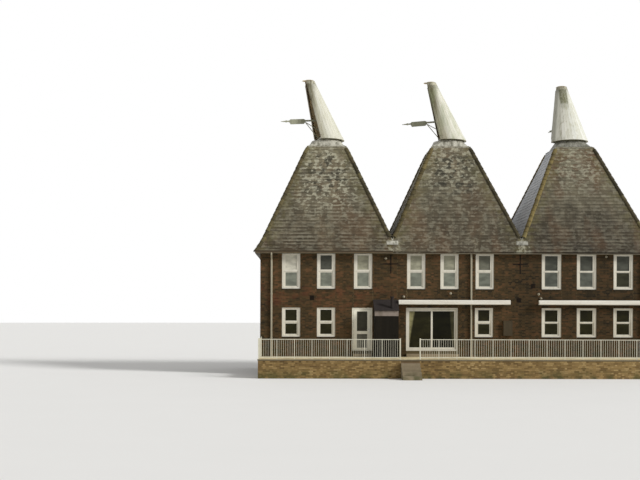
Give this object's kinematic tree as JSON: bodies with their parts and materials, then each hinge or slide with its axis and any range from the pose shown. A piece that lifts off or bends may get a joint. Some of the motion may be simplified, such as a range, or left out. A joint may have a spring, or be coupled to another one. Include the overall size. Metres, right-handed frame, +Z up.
{
  "type": "oast house",
  "caption": "Row of square brick hop kilns turned into a house, with steep slated roofs, white turning cowls with vanes, and a railed terrace.",
  "frame": {"origin": "on the ground, under the middle of the whole house with its terrace and steps", "axes": "+X along the row to the right as seen from the garden, +Y into the house, +Z up"},
  "size_m": [20.14, 11.04, 15.36],
  "materials": {
    "terrace_brick": "weathered brick",
    "paving": "weathered stone",
    "steps": "weathered stone",
    "railing_paint": "satin",
    "brick": "weathered brick",
    "slab": "matte",
    "floorboards": "satin",
    "eaves_paint": "matte",
    "lead": "weathered lead",
    "oak": "matte",
    "gutter_brown": "matte",
    "pipe_paint": "satin",
    "handle": "satin",
    "store_paint": "satin",
    "store_trim": "matte",
    "store_felt": "matte",
    "awning_case": "satin",
    "iron": "matte",
    "cupboard": "satin",
    "slates": "weathered slate",
    "white_frames": "satin",
    "glazing": "clear",
    "cowl_paint": "painted boards",
    "cowl_timber": "weathered",
    "vane_paint": "weathered paint"
  },
  "bodies": {
    "root": {"terrace_base": "terrace_brick", "terrace_paving": "paving", "steps": "steps", "railings": "railing_paint", "plinth": "brick", "ground_floor": "slab", "front_wall_left": "brick", "front_wall_pier": "brick", "front_wall_right": "brick", "front_wall_head": "brick", "front_wall_upper": "brick", "back_wall": "brick", "end_wall_left": "brick", "end_wall_right": "brick", "party_walls": "brick", "upper_floor": "floorboards", "soffit": "eaves_paint", "kiln_roof_left": "slates", "kiln_roof_middle": "slates", "kiln_roof_right": "slates", "valley_lead": "lead", "roof_curbs": "lead", "cowl_bearers": "oak", "gutter": "gutter_brown", "downpipes": "pipe_paint", "upper_windows": "white_frames", "upper_window_glass": "glazing", "lower_windows": "white_frames", "lower_window_glass": "glazing", "glazed_door_frame": "white_frames", "patio_door_frame": "white_frames", "store_frame": "store_paint", "store_board": "store_trim", "store_roof": "store_felt", "awnings": "awning_case", "tie_crosses": "iron", "meter_cupboard": "cupboard"},
    "glazed_door": {"glazed_door_leaf": "white_frames", "glazed_door_glass": "glazing", "glazed_door_handle": "handle"},
    "patio_door": {"patio_sliding_panel": "white_frames", "patio_sliding_glass": "glazing"},
    "store_door": {"store_door": "store_paint"},
    "cowl_left": {"cowl_left_hood": "cowl_paint", "cowl_left_frame": "cowl_timber", "cowl_left_post": "cowl_timber", "cowl_left_vane": "vane_paint"},
    "cowl_middle": {"cowl_middle_hood": "cowl_paint", "cowl_middle_frame": "cowl_timber", "cowl_middle_post": "cowl_timber", "cowl_middle_vane": "vane_paint"},
    "cowl_right": {"cowl_right_hood": "cowl_paint", "cowl_right_frame": "cowl_timber", "cowl_right_post": "cowl_timber", "cowl_right_vane": "vane_paint"}
  },
  "joints": [
    {"name": "cowl_left_turn", "type": "hinge", "parent": "root", "child": "cowl_left", "pos_m": [-6.48, 1.93, 12.195], "axis": [0, 0, 1], "continuous": true},
    {"name": "cowl_middle_turn", "type": "hinge", "parent": "root", "child": "cowl_middle", "pos_m": [0, 1.93, 12.195], "axis": [0, 0, 1], "continuous": true},
    {"name": "cowl_right_turn", "type": "hinge", "parent": "root", "child": "cowl_right", "pos_m": [6.48, 1.93, 12.195], "axis": [0, 0, 1], "continuous": true},
    {"name": "glazed_door_swing", "type": "hinge", "parent": "root", "child": "glazed_door", "pos_m": [-5.166, -1.38, 1.2], "axis": [0, 0, -1], "range_deg": [0, 100]},
    {"name": "patio_door_slide", "type": "slide", "parent": "root", "child": "patio_door", "axis": [-1, 0, 0], "range_m": [0, 1.16]},
    {"name": "store_door_swing", "type": "hinge", "parent": "root", "child": "store_door", "pos_m": [-4.096, -2.21, 0.9], "axis": [0, 0, -1], "range_deg": [0, 95]}
  ]
}
